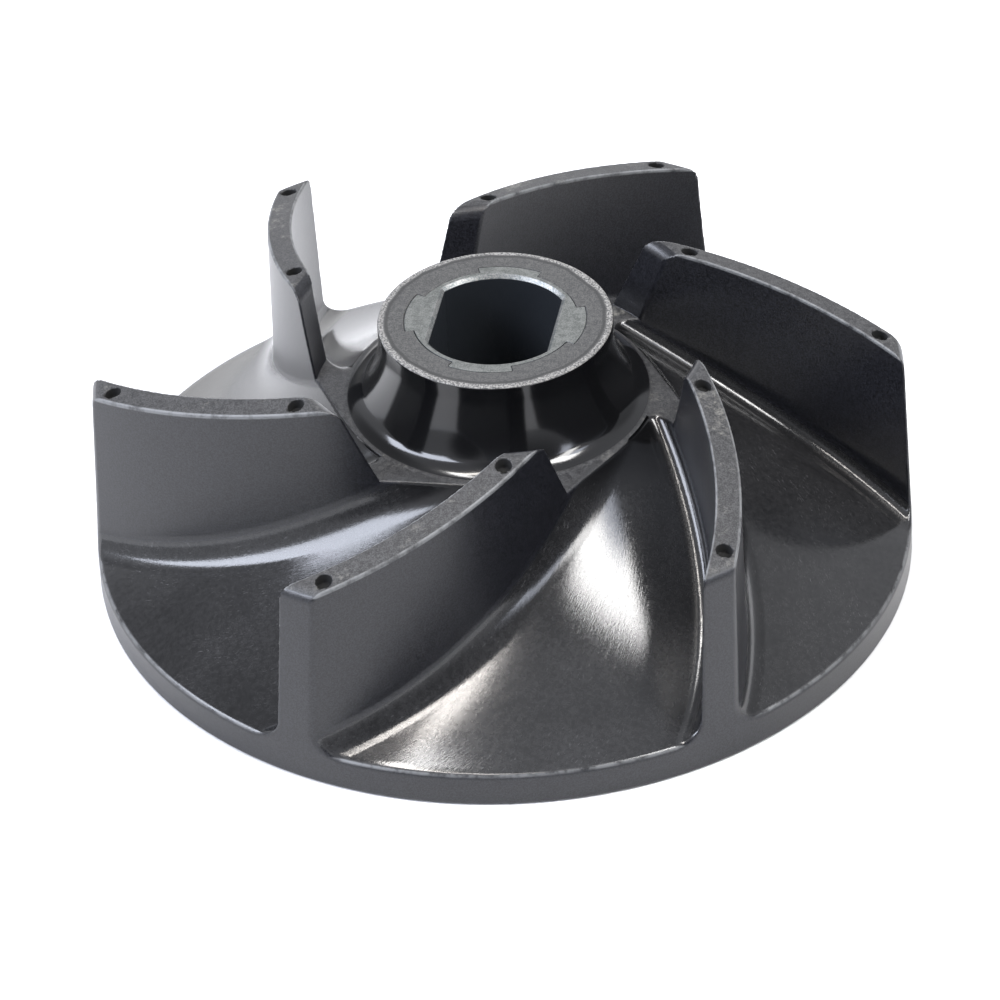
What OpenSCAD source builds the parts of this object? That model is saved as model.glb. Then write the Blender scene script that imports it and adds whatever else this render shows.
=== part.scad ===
// Open pump impeller: a moulded wheel with six backward-curved vanes and a metal hub insert.
// The wheel turns about the Z axis. Z = 0 is the underside, and the vanes stand up towards +Z.
// The bore's two flats are square to the X axis.

/* [Wheel] */
// Outer diameter of the wheel
wheel_d = 56; // [46:1:68]
// Height of the rim's side wall
rim_h = 2.4; // [2:0.1:4]
// Radius of the hollow arc that the floor follows from the rim up to the hub
floor_arc_r = 45; // [36:1:90]
// Thickness of the plate between the floor and the cored underside
plate_t = 2.6; // [1.8:0.1:3.5]
// Width of the flat ring that the rim stands on
foot_ring_w = 3; // [2:0.5:6]

/* [Hub] */
// Diameter of the hub's straight neck
neck_d = 15.9; // [14.5:0.1:20]
// Height of the hub's top face above the underside
hub_h = 19.2; // [16:0.1:24]
// Height of the flat parting ledge at the hub's foot
ledge_h = 13.2; // [11:0.1:15]
// Radius of the flare that spreads the neck out to the foot
flare_r = 6.1; // [5.5:0.1:9]
// Height of the flare above the ledge
flare_h = 5; // [3:0.1:5.4]
// Rounding of the hub's top outer edge
hub_round = 0.15; // [0.05:0.05:0.8]
// Diameter of the boss round the insert, under the plate
boss_d = 17; // [15:0.1:21]

/* [Vanes] */
// Height of a vane's top edge at the wheel's outer diameter
vane_tip_h = 14.9; // [12:0.1:18]
// Rise of the top edge towards the hub, in degrees
vane_slope = 16.2; // [8:0.1:20]
// Thickness of a vane at its tip's top edge
vane_t = 1.75; // [1.2:0.05:2.4]
// Draft of each side wall, in degrees
wall_draft = 0.9; // [0.3:0.1:2]
// Radius of a vane's middle line, seen from above
vane_arc_r = 30.55; // [26:0.05:36]
// Distance from the wheel's axis to the centre of that arc
vane_arc_offset = 22.5; // [20:0.1:26]
// Direction of the first arc centre, anticlockwise from +X, in degrees
vane_phase = 56.7; // [0:0.1:60]
// Radius at which the leading edge meets a vane's top
lead_top_r = 14.1; // [13.5:0.1:17]
// Lean of the leading edge out from the hub, in degrees
lead_lean = 15; // [5:1:20]
// Lean of a vane's outer end in from the rim, in degrees
tip_lean = 2.5; // [0.5:0.1:5]

/* [Ejector marks] */
// Diameter of an ejector mark in a vane's top
pit_d = 1.1; // [0.6:0.1:1.4]
// Depth of an ejector mark
pit_depth = 0.4; // [0.1:0.1:1]
// Distance of the outer mark in from the wheel's outer diameter
pit_outer_in = 2; // [1.5:0.1:4]
// Distance of the inner mark out from the leading edge's top
pit_inner_out = 1.5; // [1.2:0.1:3]

/* [Insert] */
// Diameter of the metal insert
insert_d = 12.3; // [11.8:0.1:14]
// Diameter of the shaft that the bore fits
shaft_d = 10; // [8:0.1:10.2]
// Width across the shaft's two flats
shaft_af = 8; // [6:0.1:8.4]
// Clearance between the shaft and the bore, on each side
shaft_gap = 0.03; // [0:0.01:0.1]
// Depth of the key grooves along the insert's outside
key_depth = 0.6; // [0.2:0.05:0.7]
// Angle that one lug between two grooves takes up, in degrees
lug_angle = 42; // [30:1:60]
// Chamfer at both mouths of the bore
bore_chamfer = 0.25; // [0.1:0.05:0.4]

/* [Hidden] */
$fn = 120;
vane_count = 6;
lug_count = 4;
plastic = [0.13, 0.13, 0.14];
steel = [0.55, 0.55, 0.56];
// How far a cutting tool runs past the face that it opens
past = 1;

wheel_r = wheel_d / 2;
neck_r = neck_d / 2;
boss_r = boss_d / 2;
insert_r = insert_d / 2;
bore_r = shaft_d / 2 + shaft_gap;
bore_half_af = shaft_af / 2 + shaft_gap;

// Centre of the flare's arc, and the radius at which the flare meets the ledge
flare_centre = [neck_r + flare_r, ledge_h + flare_h];
foot_r = flare_centre[0] - sqrt(pow(flare_r, 2) - pow(flare_h, 2));

// Centre of the floor's arc, which runs from the rim's top edge to the hub's foot
rim_point = [wheel_r, rim_h];
foot_point = [foot_r, ledge_h];
floor_chord = rim_point - foot_point;
chord_l = norm(floor_chord);
chord_normal = [-floor_chord[1], floor_chord[0]] / chord_l;
floor_centre = (rim_point + foot_point) / 2
    + chord_normal * sqrt(pow(floor_arc_r, 2) - pow(chord_l / 2, 2));

// The cone of the vanes' top edges: its tip on the axis, and its height over a given radius
top_rise = tan(vane_slope);
top_apex_h = vane_tip_h + wheel_r * top_rise;
function top_h(r) = top_apex_h - r * top_rise;

// The leading edge's cone: its radius at a given height
function lead_r(z) = lead_top_r - tan(lead_lean) * (top_h(lead_top_r) - z);

// How much a drafted side wall moves from the tip's top edge to a given height
function draft_shift(z) = tan(wall_draft) * (vane_tip_h - z);

// Angle at the axis between the arc's centre and a point of the middle line at radius r
function middle_angle(r) = acos(
    (pow(vane_arc_offset, 2) + pow(r, 2) - pow(vane_arc_r, 2)) / (2 * vane_arc_offset * r)
);

// Section of the wheel under the floor's arc and the ledge, without its cored underside
module floor_section() {
    difference() {
        polygon([[0, 0], [wheel_r, 0], rim_point, foot_point, [0, ledge_h]]);
        translate(floor_centre) circle(floor_arc_r);
    }
}

// Section of the hollow that is cored out of the underside, at one plate thickness from the floor
module recess_section() {
    difference() {
        translate([boss_r, -past])
            square([wheel_r - foot_ring_w - boss_r, ledge_h - plate_t + past]);
        translate(floor_centre) circle(floor_arc_r + plate_t);
    }
}

// Section of the hub above the ledge
module hub_section() {
    difference() {
        translate([0, ledge_h]) square([foot_r, hub_h - ledge_h]);
        translate(flare_centre) circle(flare_r);
        translate([neck_r, flare_centre[1]]) square([foot_r, hub_h]);
        hub_corner_section();
    }
}

// What the rounding takes off the hub's top outer edge
module hub_corner_section() {
    difference() {
        translate([neck_r - hub_round, hub_h - hub_round]) square(2 * hub_round);
        translate([neck_r - hub_round, hub_h - hub_round]) circle(hub_round);
    }
}

// One sector of the plane, centred on +X, out to a radius past the insert
module sector(angle) {
    reach = insert_r + past;
    edge = reach * tan(angle / 2);
    polygon([[0, 0], [reach, -edge], [reach, edge]]);
}

// Outline of the insert: lugs on the axes and key grooves between them
module insert_outline() {
    circle(insert_r - key_depth);
    intersection() {
        circle(insert_r);
        for (i = [0 : lug_count - 1])
            rotate(i * 360 / lug_count) sector(lug_angle);
    }
}

// Outline of the bore, round with two flats
module bore_outline() {
    intersection() {
        circle(bore_r);
        square([2 * bore_half_af, 2 * bore_r], center = true);
    }
}

// Chamfer of the bore, widening from z = 0 up to its mouth and a little past it
module bore_mouth() {
    mouth_h = bore_chamfer + past;
    intersection() {
        cylinder(h = mouth_h, r1 = bore_r, r2 = bore_r + mouth_h);
        rotate([90, 0, 0])
            linear_extrude(height = 3 * bore_r, center = true)
                polygon([
                    [-bore_half_af, 0], [bore_half_af, 0],
                    [bore_half_af + mouth_h, mouth_h], [-bore_half_af - mouth_h, mouth_h],
                ]);
    }
}

// The space that the insert takes up in the moulding
module insert_seat() {
    translate([0, 0, -past])
        linear_extrude(height = hub_h + 2 * past)
            insert_outline();
}

// Everything inside a vane's two drafted side walls, on the vane's side of the arc's centre line
module vane_walls() {
    outer_r = vane_arc_r + vane_t / 2;
    inner_r = vane_arc_r - vane_t / 2;
    intersection() {
        translate([vane_arc_offset, 0, 0])
            difference() {
                cylinder(
                    h = top_apex_h,
                    r1 = outer_r + draft_shift(0),
                    r2 = outer_r + draft_shift(top_apex_h)
                );
                translate([0, 0, -past])
                    cylinder(
                        h = top_apex_h + 2 * past,
                        r1 = inner_r - draft_shift(-past),
                        r2 = inner_r - draft_shift(top_apex_h + past)
                    );
            }
        translate([-2 * wheel_r, 0, 0]) cube([4 * wheel_r, 2 * wheel_r, top_apex_h]);
    }
}

// The wheel's outside above the rim, leaning in as it rises
module tip_envelope() {
    height = top_apex_h - rim_h;
    translate([0, 0, rim_h])
        cylinder(h = height, r1 = wheel_r, r2 = wheel_r - height * tan(tip_lean));
}

// Everything under the cone of the vanes' top edges
module top_envelope() {
    cylinder(h = top_apex_h, r1 = top_apex_h / top_rise, r2 = 0);
}

// The open eye of the wheel, over the ledge and inside the leading edges
module eye_cutter() {
    eye_top = top_apex_h + past;
    translate([0, 0, ledge_h])
        cylinder(h = eye_top - ledge_h, r1 = lead_r(ledge_h), r2 = lead_r(eye_top));
}

// One ejector mark at radius r on a vane's middle line
module pit(r) {
    rotate(middle_angle(r))
        translate([r, 0, top_h(r) - pit_depth])
            cylinder(h = pit_depth + past, d = pit_d, $fn = 48);
}

// The disc, its hollow arc floor, its cored underside and the lower half of the hub
module back_plate() {
    color(plastic)
        difference() {
            rotate_extrude() floor_section();
            rotate_extrude() recess_section();
            insert_seat();
        }
}

// The hub above the parting ledge
module hub_boss() {
    color(plastic)
        difference() {
            rotate_extrude() hub_section();
            insert_seat();
        }
}

// The metal insert that carries the wheel on its shaft
module hub_insert() {
    color(steel)
        difference() {
            linear_extrude(height = hub_h) insert_outline();
            translate([0, 0, -past])
                linear_extrude(height = hub_h + 2 * past) bore_outline();
            translate([0, 0, hub_h - bore_chamfer]) bore_mouth();
            translate([0, 0, bore_chamfer]) mirror([0, 0, 1]) bore_mouth();
        }
}

// One vane; the first one's arc centre lies at vane_phase
module vane(i) {
    color(plastic)
        rotate(vane_phase + (i - 1) * 360 / vane_count)
            difference() {
                intersection() {
                    vane_walls();
                    tip_envelope();
                    top_envelope();
                }
                rotate_extrude() floor_section();
                eye_cutter();
                pit(wheel_r - pit_outer_in);
                pit(lead_top_r + pit_inner_out);
            }
}

back_plate();
hub_boss();
hub_insert();
for (i = [1 : vane_count])
    vane(i);
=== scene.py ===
"""Open water pump impeller: one black plastic moulding round a metal hub insert.

Both pieces are described by signed distances in millimetres, negative inside, and are meshed
on a grid of radius, angle and height. Their symmetry means that half a turn of grid is enough.
"""

import math

import bpy
import numpy as np
from mathutils import Matrix, Vector


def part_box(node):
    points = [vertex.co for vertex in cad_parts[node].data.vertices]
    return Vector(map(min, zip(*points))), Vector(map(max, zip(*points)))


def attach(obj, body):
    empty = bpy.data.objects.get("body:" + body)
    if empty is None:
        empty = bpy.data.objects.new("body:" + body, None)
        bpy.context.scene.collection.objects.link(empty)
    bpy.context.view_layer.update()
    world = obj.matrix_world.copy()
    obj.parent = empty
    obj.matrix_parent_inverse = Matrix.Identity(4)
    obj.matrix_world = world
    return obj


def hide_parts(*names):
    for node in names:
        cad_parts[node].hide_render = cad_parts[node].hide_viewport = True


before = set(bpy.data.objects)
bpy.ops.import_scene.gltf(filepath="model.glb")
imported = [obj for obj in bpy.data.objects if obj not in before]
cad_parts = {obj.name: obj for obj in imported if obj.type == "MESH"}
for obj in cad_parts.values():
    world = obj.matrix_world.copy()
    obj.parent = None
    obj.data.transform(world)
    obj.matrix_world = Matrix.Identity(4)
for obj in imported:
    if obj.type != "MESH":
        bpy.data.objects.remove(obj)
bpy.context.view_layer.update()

MM = 0.001

# ---------------------------------------------------------------- sizes, in millimetres
PLATE_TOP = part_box("back_plate")[1] / MM
HUB_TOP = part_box("hub_boss")[1] / MM
INSERT_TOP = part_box("hub_insert")[1] / MM
WHEEL_R = PLATE_TOP.x
LEDGE_H = PLATE_TOP.z
HUB_H = HUB_TOP.z
INSERT_R = INSERT_TOP.x

# The plate, its floor, its cored underside and the hub
RIM_H = 2.4
FLOOR_ARC_R = 45.0
PLATE_T = 2.6
FOOT_RING_W = 3.0
NECK_R = 7.95
FLARE_R = 6.1
FLARE_H = 5.0
BOSS_R = 8.5

# The vanes and the ejector marks in their tops
VANE_COUNT = 6
VANE_TIP_H = 14.9
VANE_SLOPE = math.radians(16.2)
VANE_T = 1.75
WALL_DRAFT = math.radians(0.9)
VANE_ARC_R = 30.55
VANE_ARC_OFFSET = 22.5
VANE_PHASE = math.radians(56.7)
LEAD_TOP_R = 14.1
LEAD_LEAN = math.radians(15.0)
TIP_LEAN = math.radians(2.5)
PIT_R = 0.55
PIT_DEPTH = 0.7
PIT_RADII = (WHEEL_R - 2.0, LEAD_TOP_R + 1.5)

# The insert
BORE_R = 5.03
BORE_HALF_AF = 4.03
BORE_CHAMFER = 0.25
KEY_DEPTH = 0.6
LUG_COUNT = 4
LUG_HALF_ANGLE = math.radians(21.0)

# Details of the visual model only: its slimmer flare, its fillets and its rounded edges
POLISHED_FLARE_R = 8.0
ROOT_FILLET = 1.5
FOOT_FILLET = 0.8
TOP_EDGE = 0.12
TIP_CORNER = 0.7
RIM_TOP_EDGE = 0.3
RIM_BOTTOM_EDGE = 0.25
LEAD_EDGE = 0.18
LEAD_CORNER = 1.1
LEDGE_EDGE = 0.12
HUB_EDGE = 0.16
RECESS_FILLET = 1.0
INSERT_EDGE = 0.015
# How far the hub's own shape reaches down into the plate
HUB_SINK = 1.0

# Grids of the two meshes, with their cells per half turn and how far they reach past the piece
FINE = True
SECTORS = 2
MOULDING_CELL = 0.16 if FINE else 0.3
MOULDING_TURN_CELLS = 540 if FINE else 270
MOULDING_TRIANGLES = 190000 if FINE else 90000
MOULDING_MARGIN = 0.6
SEAT_MARGIN = 0.5
INSERT_CELL = 0.05 if FINE else 0.1
INSERT_TURN_CELLS = 360 if FINE else 180
INSERT_TRIANGLES = 40000 if FINE else 16000
INSERT_MARGIN = 0.3
BORE_MARGIN = 0.4

# How vertices are moved onto the surface
PROBE = 0.004
MAX_STEP = 0.3
MIN_STEEPNESS = 0.05
SETTLE_ROUNDS = 3

# The polishing marks follow the vanes' sweep and are drawn out along it
FLOW_R = 20.0
FLOW_STRETCH = 0.45

# ---------------------------------------------------------------- studio, in metres and degrees
# The camera's azimuth is anticlockwise from -Y, and its aim is given before that turn
CAMERA_AZIMUTH = math.radians(11.53)
CAMERA_ELEVATION = math.radians(36.93)
CAMERA_ROLL = math.radians(-2.63)
CAMERA_AIM = (-0.00024, 0, 0.00395)
CAMERA_DISTANCE = 0.4208
CAMERA_LENS = 220.5

# The panels' azimuths are anticlockwise from +X
PANEL_DISTANCE = 1.0
WHITE = (1.0, 0.99, 0.98)
BLUISH = (0.82, 0.87, 1.0)
PANELS = (
    # name, azimuth, elevation, width, height, strength, colour
    ("key_panel", -9, 62, 0.34, 0.22, 88, WHITE),
    ("side_panel", -17, 45, 0.15, 0.42, 66, WHITE),
    ("side_window", -25, 27, 0.14, 0.30, 26, BLUISH),
    ("right_window", -3, 50, 0.16, 0.20, 26, BLUISH),
    ("sky_panel", -152, 38.5, 0.95, 0.36, 48, BLUISH),
    ("rear_panel", 146, 75, 0.17, 0.09, 85, WHITE),
    ("back_panel", 98, 7, 1.3, 0.24, 4, WHITE),
)
STRIP_PLACE = (-0.09, -0.118, 1.0)
STRIP_LENGTH = 0.60
STRIP_WIDTH = 0.055
STRIP_TURN = math.atan2(-0.476, 0.324)
STRIP_STRENGTH = 115
STRIP_COLOUR = (1.0, 0.95, 0.9)

TENT_COLOUR = (0.95, 0.97, 1.03)
TENT_LEVEL = 0.94
DARK_PATCHES = (
    # azimuth, elevation, radius of the dark middle, radius of its soft edge, level there
    (-50, 42, 12, 45, 0.2),
    (-105, 10, 8, 20, 0.05),
    (147, 47, 8, 25, 0.35),
    (38, 20, 8, 25, 0.5),
)
BACKDROP_LEVEL = 1.0
TABLE_SIZE = 6.0
TABLE_GAP = 0.00002
TABLE_ROUGHNESS = 0.6
TABLE_SPECULAR = 0.2
TABLE_COLOUR = (0.69, 0.69, 0.69)

# ---------------------------------------------------------------- colours, linear
GLOSS_DARK = (0.0035, 0.0036, 0.004)
GLOSS_LIGHT = (0.024, 0.024, 0.025)
DUST_COLOUR = (0.12, 0.12, 0.125)
SATIN_DARK = (0.001, 0.0011, 0.002)
SATIN_LIGHT = (0.0125, 0.013, 0.0165)
RUBBED_DARK = (0.007, 0.007, 0.008)
RUBBED_LIGHT = (0.045, 0.045, 0.046)
PATCH_COLOUR = (0.15, 0.145, 0.13)
HUB_DARK = (0.020, 0.020, 0.021)
HUB_LIGHT = (0.066, 0.066, 0.063)
HUB_LINE = (0.015, 0.015, 0.015)
RING_DARK = (0.03, 0.03, 0.03)
RING_LIGHT = (0.22, 0.215, 0.205)
# Pale edge colour: wear together with a painted glint along the edges
WORN_GLINT_COLOUR = (0.12, 0.123, 0.126)
# Painted shade inside the ejector marks
PIT_SHADE_COLOUR = (0.004, 0.004, 0.004)
FACE_DARK = (0.085, 0.09, 0.086)
FACE_LIGHT = (0.16, 0.165, 0.158)
# Painted shade: the darker colour of the bore and of every face below the end face
BORE_SHADE_COLOUR = (0.035, 0.04, 0.047)
CHAMFER_DARK = (0.09, 0.10, 0.10)
CHAMFER_LIGHT = (0.20, 0.20, 0.195)

# ---------------------------------------------------------------- roughness, from and to
FLARE_ROUGHNESS = 0.13
GLOSS_ROUGHNESS = (0.05, 0.20)
FILLET_ROUGHNESS = 0.15
SATIN_ROUGHNESS = (0.26, 0.38)
RUBBED_ROUGHNESS = (0.5, 0.68)
LEDGE_ROUGHNESS = (0.3, 0.5)
WORN_ROUGHNESS = 0.5
PIT_ROUGHNESS = 0.9
FACE_ROUGHNESS = (0.5, 0.66)
BORE_ROUGHNESS = (0.3, 0.42)
INSERT_METALLIC = 0.6

# Depth of the surfaces' relief, in millimetres
MOULDING_RELIEF = 0.012
INSERT_RELIEF = 0.02

# ---------------------------------------------------------------- patterns
# Each pattern is absent where its noise, from 0 to 1, is at the first number, full at the second
WEAR_NOISE = (0.3, 0.62)
SMUDGE_NOISE = (0.35, 0.65)
DUST_NOISE = (0.6, 0.85)
DUST_CLOUDS = (0.35, 0.65)
SPECK_NOISE = (0.66, 0.8)
SPECK_CLOUDS = (0.4, 0.7)
SATIN_NOISE = (0.4, 0.6)
ROUGH_NOISE = (0.4, 0.62)
PATCH_RUBS = (0.54, 0.7)
PATCH_NOISE = (0.4, 0.6)
RING_NOISE = (0.4, 0.6)
METAL_NOISE = (0.4, 0.6)

# How strongly a pattern shows, and the share that the finer noise has in it
SMUDGE_SHARE = 0.35
DUST_STRENGTH = 0.6
PATCH_STRENGTH = 0.7
GLOSS_FLECKS = 0.6
GLOSS_HEIGHT = 0.6
RUBBED_FINE = 0.6
RUBBED_HEIGHT = 1.6

# ---------------------------------------------------------------- where each finish lies
# Of each pair, the finish is absent at the first number and full at the second, and all
# lengths are in millimetres.
VANE_RADII = (12.0, 12.5)
WALL_RADII = (10.8, 11.2)
FLOOR_RADII = (10.8, 13.0)
UNDERSIDE_FACING = (-0.3, -0.5)
FLAT_FACING = (0.8, 0.95)
WALL_GAPS = (0.12, 0.04)
FILLET_GAPS = (1.5, 0.9)
FILLET_SHARE = 0.6
RIM_GAPS = (0.16, 0.05)
LEDGE_REACH = 0.09

# Depths under the vanes' tops, and distances out from an ejector mark's side wall
TOP_DEPTHS = (0.18, 0.12)
PIT_DEPTHS = (0.04, 0.12)
PIT_END_DEPTHS = (1.1, 0.9)
PIT_GAPS = (0.06, 0.02)

# The worn edges of the vanes' tops and of the rim, pale from wear and from a painted glint, and how
# pale they are from bare to worn
TOP_EDGE_DEPTHS = (0.3, 0.2)
TOP_EDGE_SIDES = (0.8, 0.9)
TOP_EDGE_SHARE = (0.12, 1.0)
RIM_EDGE_H = RIM_H - 0.06
RIM_EDGE_REACH = 0.16
RIM_EDGE_GAPS = (0.4, 0.2)
RIM_EDGE_FACING = (0.25, 0.6)
RIM_EDGE_SHARE = (0.1, 0.7)

# The hub's top face, with its pale outer ring and the dark line inside that
HUB_HEIGHTS = (HUB_H - 0.12, HUB_H - 0.05)
HUB_RING_RADII = (7.5, 7.62)
HUB_LINE_R = 7.36
HUB_LINE_REACH = 0.16
HUB_LINE_SHARE = 0.8

# The insert's end face and its chamfer, by height and by distance out from the bore
FACE_HEIGHTS = (HUB_H - 0.04, HUB_H - 0.01)
CHAMFER_HEIGHTS = (HUB_H - 0.3, HUB_H - 0.2)
CHAMFER_GAPS = (0.3, 0.24)

# Arc of the flare's section, and of the floor's section from the rim up to the hub's foot
FLARE_CENTRE = (NECK_R + FLARE_R, LEDGE_H + FLARE_H)
FOOT_R = FLARE_CENTRE[0] - math.sqrt(FLARE_R**2 - FLARE_H**2)
chord = (WHEEL_R - FOOT_R, RIM_H - LEDGE_H)
chord_length = math.hypot(*chord)
chord_rise = math.sqrt(FLOOR_ARC_R**2 - (chord_length / 2) ** 2)
FLOOR_CENTRE = (
    (WHEEL_R + FOOT_R) / 2 - chord[1] / chord_length * chord_rise,
    (RIM_H + LEDGE_H) / 2 + chord[0] / chord_length * chord_rise,
)
TOP_APEX_H = VANE_TIP_H + WHEEL_R * math.tan(VANE_SLOPE)
LEAD_TOP_H = TOP_APEX_H - LEAD_TOP_R * math.tan(VANE_SLOPE)


# ---------------------------------------------------------------- signed distances
def both(a, b, radius):
    """What lies inside both, with the edge where they meet rounded."""
    outside = np.hypot(np.maximum(a + radius, 0), np.maximum(b + radius, 0))
    return np.minimum(np.maximum(a, b), -radius) + outside


def either(a, b, radius):
    """What lies inside either, with a fillet in the corner where they meet."""
    inside = np.hypot(np.maximum(radius - a, 0), np.maximum(radius - b, 0))
    return np.maximum(np.minimum(a, b), radius) - inside


def middle_angle(r):
    """Angle at the axis between a vane's arc centre and its middle line at radius r."""
    cosine = (VANE_ARC_OFFSET**2 + r**2 - VANE_ARC_R**2) / (2 * VANE_ARC_OFFSET * r)
    return np.arccos(np.clip(cosine, -1, 1))


def from_nearest(turn, count):
    """Angle from the nearest of that many even directions, the first of which is at angle 0."""
    pitch = 2 * math.pi / count
    return (turn + pitch / 2) % pitch - pitch / 2


def vane_gaps(r, turn, z):
    """Distances past the nearest vane's hollow side, round side and middle line, and half its width."""
    middle = middle_angle(r)
    off = from_nearest(turn - VANE_PHASE - middle, VANE_COUNT)
    across = np.hypot(r * np.cos(middle + off) - VANE_ARC_OFFSET, r * np.sin(middle + off))
    spread = VANE_T / 2 + math.tan(WALL_DRAFT) * (VANE_TIP_H - z)
    hollow = (VANE_ARC_R - spread - across) * math.cos(WALL_DRAFT)
    rounded = (across - VANE_ARC_R - spread) * math.cos(WALL_DRAFT)
    return hollow, rounded, across - VANE_ARC_R, spread


def floor_gap(r, z):
    """Distance above the floor, which is a hollow arc up to the ledge at the hub's foot."""
    arc = FLOOR_ARC_R - np.hypot(r - FLOOR_CENTRE[0], z - FLOOR_CENTRE[1])
    return both(arc, z - LEDGE_H, LEDGE_EDGE)


def top_gap(r, z):
    """Distance above the cone of the vanes' top edges."""
    return (z - TOP_APEX_H + r * math.tan(VANE_SLOPE)) * math.cos(VANE_SLOPE)


def rim_gap(r, z):
    """Distance outside the rim, and above it outside the vanes' leaning outer ends."""
    lean = np.maximum(z - RIM_H, 0) * math.tan(TIP_LEAN)
    return (r - WHEEL_R + lean) * math.cos(TIP_LEAN)


def lead_gap(r, z):
    """Distance inside the leading edges, into the wheel's open eye."""
    lead = LEAD_TOP_R - math.tan(LEAD_LEAN) * (LEAD_TOP_H - z)
    return (lead - r) * math.cos(LEAD_LEAN)


def pit_gap(r, turn):
    """Distance outside the side wall of the nearest ejector mark."""
    gaps = []
    for pit_r in PIT_RADII:
        off = from_nearest(turn - VANE_PHASE - middle_angle(pit_r), VANE_COUNT)
        gaps.append(np.hypot(r * np.cos(off) - pit_r, r * np.sin(off)) - PIT_R)
    return np.minimum(*gaps)


def hub(r, z):
    """The flared hub, whose polished flare is a little slimmer and runs out in a foot fillet."""
    flare = POLISHED_FLARE_R - np.hypot(r - NECK_R - POLISHED_FLARE_R, z - FLARE_CENTRE[1])
    foot = np.maximum(flare, LEDGE_H - HUB_SINK - z)
    foot = either(foot, z - LEDGE_H, FOOT_FILLET)
    foot = np.maximum(foot, r - FOOT_R)
    side = np.where(z > FLARE_CENTRE[1], r - NECK_R, foot)
    return both(side, z - HUB_H, HUB_EDGE)


def recess(r, z):
    """The hollow that is cored out of the underside."""
    under_floor = np.hypot(r - FLOOR_CENTRE[0], z - FLOOR_CENTRE[1]) - FLOOR_ARC_R - PLATE_T
    ceiling = both(-under_floor, z - LEDGE_H + PLATE_T, RECESS_FILLET)
    sides = both(BOSS_R - r, r - WHEEL_R + FOOT_RING_W, RECESS_FILLET)
    return both(ceiling, sides, RECESS_FILLET)


def moulding(r, turn, z):
    """The plate, its vanes and the hub, less the cored underside and the insert's seat."""
    hollow, rounded, _, _ = vane_gaps(r, turn, z)
    body = either(floor_gap(r, z), np.maximum(hollow, rounded), ROOT_FILLET)
    envelope = both(top_gap(r, z), rim_gap(r, z), TIP_CORNER)
    low = np.clip((VANE_TIP_H - z) / (VANE_TIP_H - RIM_H), 0, 1)
    body = both(body, envelope, TOP_EDGE + (RIM_TOP_EDGE - TOP_EDGE) * low)
    pits = np.maximum(pit_gap(r, turn), -PIT_DEPTH - top_gap(r, z))
    body = np.maximum(body, -pits)
    body = both(body, np.minimum(z - LEDGE_H, lead_gap(r, z)), LEAD_EDGE)
    corner = both(top_gap(r, z), lead_gap(r, z), LEAD_CORNER)
    body = np.maximum(body, np.minimum(z - LEDGE_H, corner))
    body = np.minimum(body, hub(r, z))
    body = np.maximum(body, -recess(r, z))
    body = both(body, -z, RIM_BOTTOM_EDGE)
    return np.maximum(body, -seat(r, turn))


def seat(r, turn):
    """Outline of the insert: a sleeve with a lug on each axis and key grooves between them."""
    off = np.abs(from_nearest(turn, LUG_COUNT))
    lug = np.maximum(r - INSERT_R, r * np.sin(off - LUG_HALF_ANGLE))
    return np.minimum(r - INSERT_R + KEY_DEPTH, lug)


def insert(r, turn, z):
    """The sleeve, with its double-D bore chamfered at both mouths."""
    ends = np.maximum(z - HUB_H, -z)
    widening = np.maximum(BORE_CHAMFER + ends, 0)
    bore = np.maximum(r - BORE_R, np.abs(r * np.cos(turn)) - BORE_HALF_AF) - widening
    return np.maximum(both(seat(r, turn), ends, INSERT_EDGE), -bore)


# ---------------------------------------------------------------- meshing
def slopes(solid, points):
    """The solid's distance at each point, and the direction in which it grows."""
    def distance(p):
        return solid(np.hypot(p[:, 0], p[:, 1]), np.arctan2(p[:, 1], p[:, 0]), p[:, 2])

    gradient = np.empty_like(points)
    for axis in range(3):
        shift = np.zeros(3)
        shift[axis] = PROBE
        gradient[:, axis] = (distance(points + shift) - distance(points - shift)) / (2 * PROBE)
    return distance(points), gradient


def settle(solid, points, rounds):
    """Moves each point onto the solid's surface."""
    for _ in range(rounds):
        distance, gradient = slopes(solid, points)
        step = np.clip(distance, -MAX_STEP, MAX_STEP)
        steepness = np.maximum((gradient**2).sum(axis=1), MIN_STEEPNESS)
        points = points - gradient * (step / steepness)[:, None]
    return points


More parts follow.
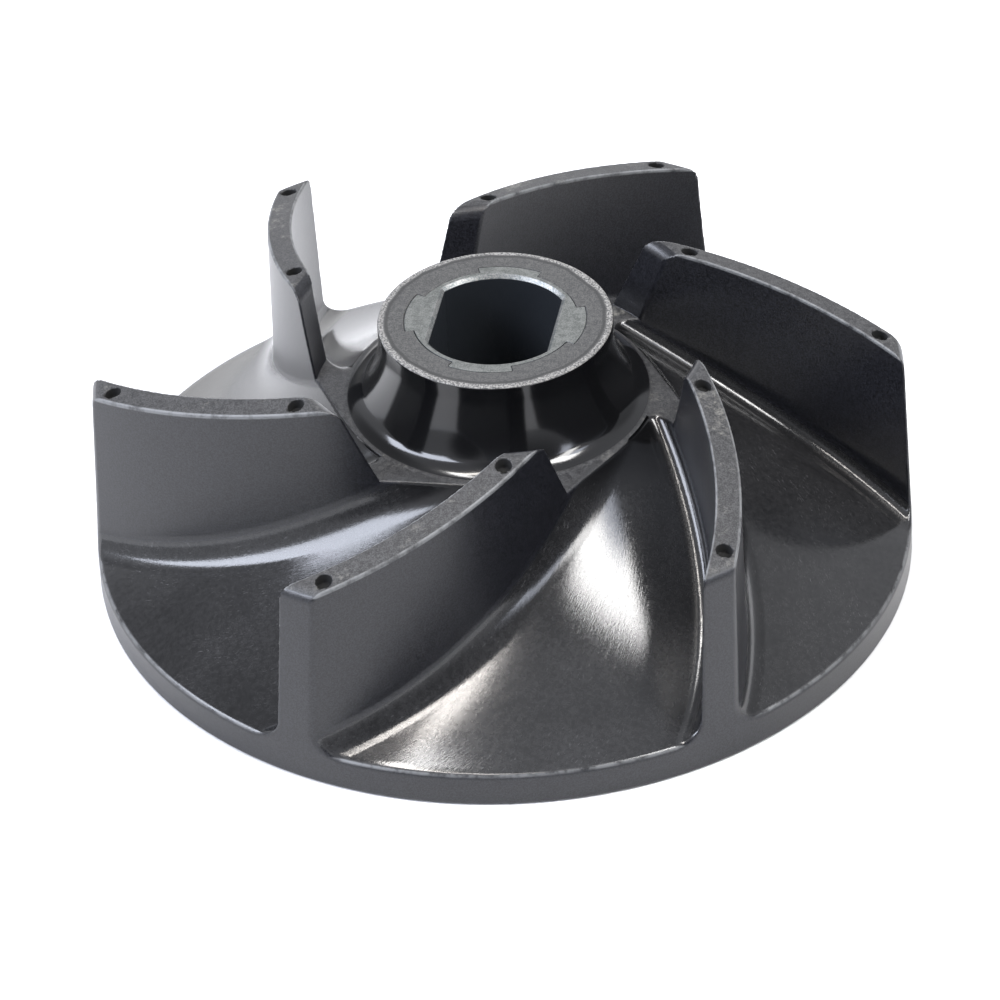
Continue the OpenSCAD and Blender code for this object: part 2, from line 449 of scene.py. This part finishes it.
def surface_net(solid, radii, turn_cells, heights):
    """Points and quads of the solid's surface, from one sector of a grid turned round the axis."""
    pitch = 2 * math.pi / SECTORS
    turns = np.arange(turn_cells) * pitch / turn_cells
    r, turn, z = np.meshgrid(radii, turns, heights, indexing="ij")
    value = solid(r, turn, z)
    value = np.concatenate([value, value[:, :1]], axis=1)
    inside = value < 0

    # One vertex in each cell that the surface crosses, at the mean of its edges' crossings
    corners = [(i, j, k) for i in (0, 1) for j in (0, 1) for k in (0, 1)]
    counts = (len(radii) - 1, turn_cells, len(heights) - 1)
    full = np.zeros(counts, dtype=np.int8)
    for i, j, k in corners:
        full += inside[i : counts[0] + i, j : counts[1] + j, k : counts[2] + k]
    cells = np.argwhere((full > 0) & (full < len(corners)))
    total = np.zeros((len(cells), 3))
    crossings = np.zeros(len(cells))
    for start in corners:
        for axis in range(3):
            if start[axis]:
                continue
            first = value[tuple((cells + start).T)]
            step = np.eye(3, dtype=int)[axis]
            second = value[tuple((cells + start + step).T)]
            crossed = (first < 0) != (second < 0)
            share = np.where(crossed, first / np.where(crossed, first - second, 1), 0)
            total += crossed[:, None] * (np.array(start) + share[:, None] * step)
            crossings += crossed
    place = cells + total / crossings[:, None]
    net_r = np.interp(place[:, 0], np.arange(len(radii)), radii)
    net_turn = place[:, 1] * pitch / turn_cells
    net_z = np.interp(place[:, 2], np.arange(len(heights)), heights)
    points = np.column_stack([net_r * np.cos(net_turn), net_r * np.sin(net_turn), net_z])
    points = settle(solid, points, SETTLE_ROUNDS)

    # One quad round each edge of the grid that the surface crosses
    vertex = np.full(counts, -1)
    vertex[tuple(cells.T)] = np.arange(len(cells))
    quads = []
    for axis in range(3):
        across, along = (axis + 1) % 3, (axis + 2) % 3
        upper = np.roll(inside, -1, axis=axis)
        changed = inside != upper
        changed[tuple(slice(-1, None) if a == axis else slice(None) for a in range(3))] = False
        changed[:, -1] = False
        edges = np.argwhere(changed)
        outward = inside[tuple(edges.T)]
        quad = np.empty((len(edges), 4, 2), dtype=int)
        for corner, (back, down) in enumerate([(1, 1), (0, 1), (0, 0), (1, 0)]):
            cell = edges.copy()
            cell[:, across] -= back
            cell[:, along] -= down
            quad[:, corner, 1] = cell[:, 1] // turn_cells
            cell[:, 1] %= turn_cells
            quad[:, corner, 0] = vertex[tuple(cell.T)]
        quad[~outward] = quad[~outward][:, ::-1]
        quads.append(quad)
    quads = np.concatenate(quads)

    all_points = []
    all_quads = []
    for sector in range(SECTORS):
        turned = Matrix.Rotation(sector * pitch, 3, "Z")
        all_points.append(points @ np.array(turned).T)
        all_quads.append(quads[..., 0] + (quads[..., 1] + sector) % SECTORS * len(points))
    return np.concatenate(all_points), np.concatenate(all_quads)


def write_mesh(name, points, faces):
    """A mesh of quads or triangles, with its points given in millimetres."""
    mesh = bpy.data.meshes.new(name)
    mesh.vertices.add(len(points))
    mesh.vertices.foreach_set("co", (points * MM).astype(np.float32).ravel())
    mesh.loops.add(faces.size)
    mesh.loops.foreach_set("vertex_index", faces.astype(np.int32).ravel())
    mesh.polygons.add(len(faces))
    mesh.polygons.foreach_set("loop_start", np.arange(0, faces.size, faces.shape[1]))
    mesh.update(calc_edges=True)
    return mesh


def read_points(mesh):
    """The mesh's points, in millimetres."""
    points = np.empty(len(mesh.vertices) * 3, dtype=np.float32)
    mesh.vertices.foreach_get("co", points)
    return points.reshape(-1, 3).astype(float) / MM


def sculpt(name, solid, radii, turn_cells, heights, triangles):
    """An object of the solid, thinned where it is flat, with smooth normals from the distances."""
    points, quads = surface_net(solid, radii, turn_cells, heights)
    piece = bpy.data.objects.new(name, write_mesh(name, points, quads))
    bpy.context.collection.objects.link(piece)
    thin = piece.modifiers.new("thin", "DECIMATE")
    thin.ratio = min(1.0, triangles / (2 * len(quads)))
    depsgraph = bpy.context.evaluated_depsgraph_get()
    thinned = bpy.data.meshes.new_from_object(piece.evaluated_get(depsgraph))
    piece.modifiers.clear()
    full_mesh = piece.data
    piece.data = thinned
    thinned.name = name
    bpy.data.meshes.remove(full_mesh)

    points = settle(solid, read_points(thinned), SETTLE_ROUNDS)
    thinned.vertices.foreach_set("co", (points * MM).astype(np.float32).ravel())
    thinned.polygons.foreach_set("use_smooth", np.ones(len(thinned.polygons), dtype=bool))
    thinned.update()
    gradient = slopes(solid, points)[1]
    lengths = np.linalg.norm(gradient, axis=1, keepdims=True)
    thinned.normals_split_custom_set_from_vertices(gradient / np.maximum(lengths, MIN_STEEPNESS))
    return piece, points


def store(piece, **fields):
    """Keeps one number per vertex under each name, for the materials."""
    for name, values in fields.items():
        layer = piece.data.attributes.new(name, "FLOAT", "POINT")
        layer.data.foreach_set("value", values.astype(np.float32))


# ---------------------------------------------------------------- shader nodes
class Nodes:
    """Short ways to add nodes to a tree. A value is a number, a colour or another node's output."""

    def __init__(self, tree):
        self.tree = tree

    def add(self, kind, **settings):
        node = self.tree.nodes.new(kind)
        for name, value in settings.items():
            setattr(node, name, value)
        return node

    def put(self, socket, value):
        if isinstance(value, bpy.types.NodeSocket):
            self.tree.links.new(value, socket)
        elif isinstance(value, tuple):
            socket.default_value = (*value, 1)
        else:
            socket.default_value = value

    def math(self, operation, a, b=0.0, clamp=False):
        node = self.add("ShaderNodeMath", operation=operation, use_clamp=clamp)
        self.put(node.inputs[0], a)
        self.put(node.inputs[1], b)
        return node.outputs[0]

    def smooth(self, value, low, high):
        """0 where value is at low, 1 at high, and smooth between them."""
        node = self.add("ShaderNodeMapRange", interpolation_type="SMOOTHSTEP")
        self.put(node.inputs["Value"], value)
        low_end, high_end, flip = (low, high, False) if low < high else (high, low, True)
        node.inputs["From Min"].default_value = low_end
        node.inputs["From Max"].default_value = high_end
        node.inputs["To Min"].default_value = 1 if flip else 0
        node.inputs["To Max"].default_value = 0 if flip else 1
        return node.outputs["Result"]

    def near(self, value, centre, reach):
        """1 where value is within a third of reach from centre, falling to 0 at reach."""
        away = self.math("ABSOLUTE", self.math("SUBTRACT", value, centre))
        return self.smooth(away, reach, reach / 3)

    def most(self, *masks):
        """The greatest of the masks."""
        result = masks[0]
        for mask in masks[1:]:
            result = self.math("MAXIMUM", result, mask)
        return result

    def both(self, *masks):
        """The masks' product."""
        result = masks[0]
        for mask in masks[1:]:
            result = self.math("MULTIPLY", result, mask)
        return result

    def blend(self, share, a, b):
        """The number a where share is 0, b where it is 1."""
        node = self.add("ShaderNodeMix", data_type="FLOAT")
        self.put(node.inputs["Factor"], share)
        self.put(node.inputs["A"], a)
        self.put(node.inputs["B"], b)
        return node.outputs["Result"]

    def tint(self, share, a, b):
        """The colour a where share is 0, b where it is 1."""
        # The node has sockets of every type under the same names, so these go by number
        node = self.add("ShaderNodeMix", data_type="RGBA")
        self.put(node.inputs["Factor"], share)
        self.put(node.inputs[6], a)
        self.put(node.inputs[7], b)
        return node.outputs[2]

    def field(self, name):
        """A number that store() kept on the mesh."""
        return self.add("ShaderNodeAttribute", attribute_name=name).outputs["Fac"]

    def noise(self, vector, size, detail=2.0, roughness=0.5):
        """Noise from 0 to 1, whose lumps are about that size in millimetres."""
        node = self.add("ShaderNodeTexNoise")
        self.tree.links.new(vector, node.inputs["Vector"])
        node.inputs["Scale"].default_value = 1 / size
        node.inputs["Detail"].default_value = detail
        node.inputs["Roughness"].default_value = roughness
        return node.outputs["Fac"]


class Surface(Nodes):
    """A material with one Principled shader."""

    def __init__(self, name):
        self.material = bpy.data.materials.new(name)
        self.material.use_nodes = True
        super().__init__(self.material.node_tree)
        self.tree.nodes.clear()
        self.shader = self.add("ShaderNodeBsdfPrincipled")
        output = self.add("ShaderNodeOutputMaterial")
        self.tree.links.new(self.shader.outputs["BSDF"], output.inputs["Surface"])

    def place(self):
        """The piece's own coordinates, in millimetres."""
        node = self.add("ShaderNodeVectorMath", operation="SCALE")
        self.tree.links.new(self.add("ShaderNodeTexCoord").outputs["Object"], node.inputs[0])
        node.inputs["Scale"].default_value = 1 / MM
        return node.outputs["Vector"]

    def flow(self):
        """Coordinates that follow the vanes' sweep, in millimetres."""
        return self.add("ShaderNodeAttribute", attribute_name="flow").outputs["Vector"]

    def bump(self, height, depth):
        """Bumps of that depth in millimetres, where height goes from 0 to 1."""
        node = self.add("ShaderNodeBump")
        node.inputs["Strength"].default_value = 1.0
        node.inputs["Distance"].default_value = depth * MM
        self.tree.links.new(height, node.inputs["Height"])
        self.tree.links.new(node.outputs["Normal"], self.shader.inputs["Normal"])


# ---------------------------------------------------------------- studio
def add_camera():
    """The camera stands where the photographer's did, with the roll that they held it at."""
    turned = Matrix.Rotation(CAMERA_AZIMUTH, 3, "Z")
    tilted = Matrix.Rotation(math.pi / 2 - CAMERA_ELEVATION, 3, "X")
    rolled = Matrix.Rotation(CAMERA_ROLL, 3, "Z")
    facing = turned @ tilted @ rolled
    place = turned @ Vector(CAMERA_AIM) + facing @ Vector((0, 0, CAMERA_DISTANCE))
    data = bpy.data.cameras.new("camera")
    data.lens = CAMERA_LENS
    data.clip_start = CAMERA_DISTANCE / 100
    camera = bpy.data.objects.new("camera", data)
    camera.matrix_world = Matrix.Translation(place) @ facing.to_4x4()
    bpy.context.collection.objects.link(camera)
    bpy.context.scene.camera = camera


def pointing(azimuth, elevation):
    """The direction at these angles in degrees, with the azimuth anticlockwise from +X."""
    azimuth, elevation = math.radians(azimuth), math.radians(elevation)
    return Vector((
        math.cos(elevation) * math.cos(azimuth),
        math.cos(elevation) * math.sin(azimuth),
        math.sin(elevation),
    ))


def add_softbox(name, place, rotation, width, height, strength, colour):
    """A rectangular light that shows in reflections but not to the camera."""
    data = bpy.data.lights.new(name, "AREA")
    data.shape = "RECTANGLE"
    data.size = width
    data.size_y = height
    data.energy = strength * width * height
    data.color = colour
    light = bpy.data.objects.new(name, data)
    light.location = place
    light.rotation_euler = rotation
    light.visible_camera = False
    bpy.context.collection.objects.link(light)


def add_panel(name, azimuth, elevation, width, height, strength, colour):
    """A softbox that faces the wheel from a direction."""
    outward = pointing(azimuth, elevation)
    rotation = outward.to_track_quat("Z", "Y").to_euler()
    add_softbox(name, outward * PANEL_DISTANCE, rotation, width, height, strength, colour)


def add_overhead_strip():
    """A long tube softbox over the wheel."""
    add_softbox(
        "overhead_strip", STRIP_PLACE, (0, 0, STRIP_TURN),
        STRIP_LENGTH, STRIP_WIDTH, STRIP_STRENGTH, STRIP_COLOUR,
    )


def light_tent():
    """A pale tent all round, with darker patches, that looks plain white to the camera."""
    world = bpy.data.worlds.new("light_tent")
    bpy.context.scene.world = world
    world.use_nodes = True
    tree = world.node_tree
    tree.nodes.clear()
    paint = Nodes(tree)
    direction = paint.add("ShaderNodeTexCoord").outputs["Generated"]
    level = TENT_LEVEL
    for azimuth, elevation, middle, edge, dark_level in DARK_PATCHES:
        toward = paint.add("ShaderNodeVectorMath", operation="DOT_PRODUCT")
        tree.links.new(direction, toward.inputs[0])
        toward.inputs[1].default_value = pointing(azimuth, elevation)
        edge_cosine, middle_cosine = math.cos(math.radians(edge)), math.cos(math.radians(middle))
        dark = paint.smooth(toward.outputs["Value"], edge_cosine, middle_cosine)
        level = paint.blend(dark, level, dark_level)
    seen = paint.add("ShaderNodeLightPath").outputs["Is Camera Ray"]
    background = paint.add("ShaderNodeBackground")
    background.inputs["Color"].default_value = (*TENT_COLOUR, 1)
    tree.links.new(paint.blend(seen, level, BACKDROP_LEVEL), background.inputs["Strength"])
    output = paint.add("ShaderNodeOutputWorld")
    tree.links.new(background.outputs["Background"], output.inputs["Surface"])


def add_table():
    """The pale table, large enough to reach past every view's edge."""
    bpy.ops.mesh.primitive_plane_add(size=TABLE_SIZE, location=(0, 0, -TABLE_GAP))
    table = bpy.context.object
    table.name = "table"
    paint = Surface("table_white")
    paint.shader.inputs["Base Color"].default_value = (*TABLE_COLOUR, 1)
    paint.shader.inputs["Roughness"].default_value = TABLE_ROUGHNESS
    paint.shader.inputs["Specular IOR Level"].default_value = TABLE_SPECULAR
    table.data.materials.append(paint.material)


# ---------------------------------------------------------------- materials
def moulding_material():
    """Black plastic: polished floor and hub, satin walls, and faces rubbed flat at the parting line."""
    paint = Surface("black_plastic")
    place = paint.place()
    flow = paint.flow()
    top = paint.field("top")
    wall = paint.field("wall")
    rim = paint.field("rim")
    radius = paint.field("radius")
    height = paint.field("height")
    facing = paint.field("facing")

    fine = paint.noise(place, size=0.1, detail=2, roughness=0.6)
    grain = paint.noise(place, size=0.14, detail=3, roughness=0.75)
    mottle = paint.noise(place, size=0.35, detail=5, roughness=0.8)
    patchy = paint.noise(place, size=1.3, detail=3, roughness=0.7)
    rubs = paint.noise(place, size=2.4, detail=5, roughness=0.75)
    cloud = paint.noise(place, size=5.0, detail=3, roughness=0.5)
    streak = paint.noise(flow, size=0.3, detail=4, roughness=0.7)
    fleck = paint.noise(flow, size=0.12, detail=2, roughness=0.6)

    # Where each finish is
    on_vane = paint.smooth(radius, *VANE_RADII)
    on_top = paint.both(paint.smooth(top, *TOP_DEPTHS), on_vane)
    # The ejector marks' hollows, where shade is painted dark
    shaded_pit = paint.both(
        paint.smooth(top, *PIT_DEPTHS), paint.smooth(top, *PIT_END_DEPTHS),
        paint.smooth(paint.field("pit"), *PIT_GAPS),
    )
    past_hub = paint.smooth(radius, *WALL_RADII)
    on_wall = paint.both(paint.smooth(wall, *WALL_GAPS), past_hub)
    on_fillet = paint.both(paint.smooth(wall, *FILLET_GAPS), past_hub, FILLET_SHARE)
    on_rim = paint.smooth(rim, *RIM_GAPS)
    on_ledge = paint.both(
        paint.near(height, LEDGE_H, LEDGE_REACH), paint.smooth(facing, *FLAT_FACING)
    )
    on_hub = paint.smooth(height, *HUB_HEIGHTS)
    on_floor = paint.smooth(radius, *FLOOR_RADII)
    satin = paint.most(on_wall, on_rim, paint.smooth(facing, *UNDERSIDE_FACING))
    rubbed = paint.most(on_top, on_ledge)
    hub_ring = paint.both(on_hub, paint.smooth(radius, *HUB_RING_RADII))
    hub_line = paint.both(on_hub, paint.near(radius, HUB_LINE_R, HUB_LINE_REACH), HUB_LINE_SHARE)

    # Worn edges, pale from wear and from a painted glint: along the vanes' tops, and thinner along the
    # top of the rim where it faces up
    side = paint.math("ABSOLUTE", paint.field("side"))
    wear = paint.smooth(patchy, *WEAR_NOISE)
    top_edge_glint = paint.both(
        paint.smooth(top, *TOP_EDGE_DEPTHS), paint.smooth(side, *TOP_EDGE_SIDES), on_vane,
        paint.blend(wear, *TOP_EDGE_SHARE),
    )
    rim_edge_glint = paint.both(
        paint.near(height, RIM_EDGE_H, RIM_EDGE_REACH), paint.smooth(rim, *RIM_EDGE_GAPS),
        paint.smooth(facing, *RIM_EDGE_FACING), paint.blend(wear, *RIM_EDGE_SHARE),
    )
    worn_and_glint = paint.most(top_edge_glint, rim_edge_glint)

    # Colours
    smudges = paint.blend(SMUDGE_SHARE, cloud, paint.smooth(mottle, *SMUDGE_NOISE))
    gloss_colour = paint.tint(paint.both(smudges, on_floor), GLOSS_DARK, GLOSS_LIGHT)
    dust = paint.both(
        paint.smooth(fleck, *DUST_NOISE), paint.smooth(cloud, *DUST_CLOUDS), on_floor
    )
    specks = paint.both(
        paint.smooth(fine, *SPECK_NOISE), paint.smooth(cloud, *SPECK_CLOUDS), on_floor
    )
    dusty = paint.both(paint.most(dust, specks), DUST_STRENGTH)
    gloss_colour = paint.tint(dusty, gloss_colour, DUST_COLOUR)
    satin_grain = paint.smooth(paint.blend(0.5, grain, fine), *SATIN_NOISE)
    satin_colour = paint.tint(satin_grain, SATIN_DARK, SATIN_LIGHT)
    rough_spots = paint.smooth(paint.blend(0.5, mottle, fine), *ROUGH_NOISE)
    rubbed_colour = paint.tint(rough_spots, RUBBED_DARK, RUBBED_LIGHT)
    patches = paint.both(
        paint.smooth(rubs, *PATCH_RUBS), paint.smooth(mottle, *PATCH_NOISE), PATCH_STRENGTH
    )
    rubbed_colour = paint.tint(patches, rubbed_colour, PATCH_COLOUR)
    hub_colour = paint.tint(rough_spots, HUB_DARK, HUB_LIGHT)
    ring_colour = paint.tint(paint.smooth(grain, *RING_NOISE), RING_DARK, RING_LIGHT)

    colour = paint.tint(satin, gloss_colour, satin_colour)
    colour = paint.tint(rubbed, colour, rubbed_colour)
    colour = paint.tint(on_hub, colour, hub_colour)
    colour = paint.tint(hub_line, colour, HUB_LINE)
    colour = paint.tint(hub_ring, colour, ring_colour)
    # Paints the edges pale for their wear and for a painted glint
    colour = paint.tint(worn_and_glint, colour, WORN_GLINT_COLOUR)
    # Painted shade in the ejector marks
    colour = paint.tint(shaded_pit, colour, PIT_SHADE_COLOUR)
    paint.put(paint.shader.inputs["Base Color"], colour)

    # Roughness
    rubbed = paint.most(rubbed, on_hub)
    roughness = paint.blend(on_floor, FLARE_ROUGHNESS, paint.blend(streak, *GLOSS_ROUGHNESS))
    roughness = paint.blend(on_fillet, roughness, FILLET_ROUGHNESS)
    roughness = paint.blend(satin, roughness, paint.blend(grain, *SATIN_ROUGHNESS))
    roughness = paint.blend(rubbed, roughness, paint.blend(mottle, *RUBBED_ROUGHNESS))
    roughness = paint.blend(on_ledge, roughness, paint.blend(mottle, *LEDGE_ROUGHNESS))
    roughness = paint.blend(worn_and_glint, roughness, WORN_ROUGHNESS)
    roughness = paint.blend(shaded_pit, roughness, PIT_ROUGHNESS)
    paint.put(paint.shader.inputs["Roughness"], roughness)

    # Relief: fine streaks on the gloss, grain on the satin, and deeper spots where it is rubbed
    gloss_height = paint.both(paint.blend(GLOSS_FLECKS, streak, fleck), on_floor, GLOSS_HEIGHT)
    satin_height = paint.blend(0.5, grain, fine)
    rubbed_height = paint.both(paint.blend(RUBBED_FINE, mottle, fine), RUBBED_HEIGHT)
    relief = paint.blend(satin, gloss_height, satin_height)
    relief = paint.blend(rubbed, relief, rubbed_height)
    paint.bump(relief, MOULDING_RELIEF)
    return paint.material


def insert_material():
    """Grey metal: a rubbed end face with a pale chamfer, and a drawn bore painted darker as painted
    shade.
    """
    paint = Surface("insert_steel")
    place = paint.place()
    height = paint.field("height")
    mottle = paint.noise(place, size=0.5, detail=4, roughness=0.75)
    fine = paint.noise(place, size=0.1, detail=2, roughness=0.6)
    relief = paint.blend(0.5, mottle, fine)
    rough_spots = paint.smooth(relief, *METAL_NOISE)
    on_face = paint.smooth(height, *FACE_HEIGHTS)
    on_chamfer = paint.both(
        paint.smooth(paint.field("bore"), *CHAMFER_GAPS), paint.smooth(height, *CHAMFER_HEIGHTS)
    )
    face_colour = paint.tint(rough_spots, FACE_DARK, FACE_LIGHT)
    chamfer_colour = paint.tint(rough_spots, CHAMFER_DARK, CHAMFER_LIGHT)
    # Below the end face the metal is painted darker, as painted shade in the bore
    colour = paint.tint(on_face, BORE_SHADE_COLOUR, face_colour)
    colour = paint.tint(on_chamfer, colour, chamfer_colour)
    paint.put(paint.shader.inputs["Base Color"], colour)
    paint.put(paint.shader.inputs["Metallic"], INSERT_METALLIC)
    bore_roughness = paint.blend(mottle, *BORE_ROUGHNESS)
    face_roughness = paint.blend(mottle, *FACE_ROUGHNESS)
    roughness = paint.blend(on_face, bore_roughness, face_roughness)
    paint.put(paint.shader.inputs["Roughness"], roughness)
    paint.bump(relief, INSERT_RELIEF)
    return paint.material


# ---------------------------------------------------------------- pieces
def levels(low, high, step):
    """Evenly spaced grid levels from low to high."""
    return np.linspace(low, high, round((high - low) / step) + 1)


def add_moulding():
    """The plastic piece, with the fields that its material reads."""
    piece, points = sculpt(
        "impeller_moulding", moulding,
        levels(INSERT_R - KEY_DEPTH - SEAT_MARGIN, WHEEL_R + MOULDING_MARGIN, MOULDING_CELL),
        MOULDING_TURN_CELLS,
        levels(-MOULDING_MARGIN, HUB_H + MOULDING_MARGIN, MOULDING_CELL),
        MOULDING_TRIANGLES,
    )
    r = np.hypot(points[:, 0], points[:, 1])
    turn = np.arctan2(points[:, 1], points[:, 0])
    z = points[:, 2]
    hollow, rounded, middle_gap, half_width = vane_gaps(r, turn, z)
    gradient = slopes(moulding, points)[1]
    facing = gradient[:, 2] / np.maximum(np.linalg.norm(gradient, axis=1), MIN_STEEPNESS)
    store(
        piece, top=-top_gap(r, z), wall=np.maximum(hollow, rounded), rim=-rim_gap(r, z),
        side=middle_gap / half_width, pit=pit_gap(r, turn), radius=r, height=z, facing=facing,
    )
    swirl = turn - middle_angle(r)
    flow = np.column_stack([FLOW_R * np.cos(swirl), FLOW_R * np.sin(swirl), r * FLOW_STRETCH])
    layer = piece.data.attributes.new("flow", "FLOAT_VECTOR", "POINT")
    layer.data.foreach_set("vector", flow.astype(np.float32).ravel())
    piece.data.materials.append(moulding_material())
    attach(piece, "root")
    vanes = [f"vane_{number}" for number in range(1, VANE_COUNT + 1)]
    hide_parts("back_plate", "hub_boss", *vanes)


def add_insert():
    """The metal piece, with the fields that its material reads."""
    piece, points = sculpt(
        "impeller_insert", insert,
        levels(BORE_HALF_AF - BORE_MARGIN, INSERT_R + INSERT_MARGIN, INSERT_CELL),
        INSERT_TURN_CELLS,
        levels(-INSERT_MARGIN, HUB_H + INSERT_MARGIN, INSERT_CELL * 2),
        INSERT_TRIANGLES,
    )
    r = np.hypot(points[:, 0], points[:, 1])
    bore = np.maximum(r - BORE_R, np.abs(points[:, 0]) - BORE_HALF_AF)
    store(piece, height=points[:, 2], bore=bore)
    piece.data.materials.append(insert_material())
    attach(piece, "root")
    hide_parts("hub_insert")


add_camera()
add_table()
light_tent()
add_overhead_strip()
for panel in PANELS:
    add_panel(*panel)
add_moulding()
add_insert()

bpy.context.scene.view_settings.view_transform = "Standard"
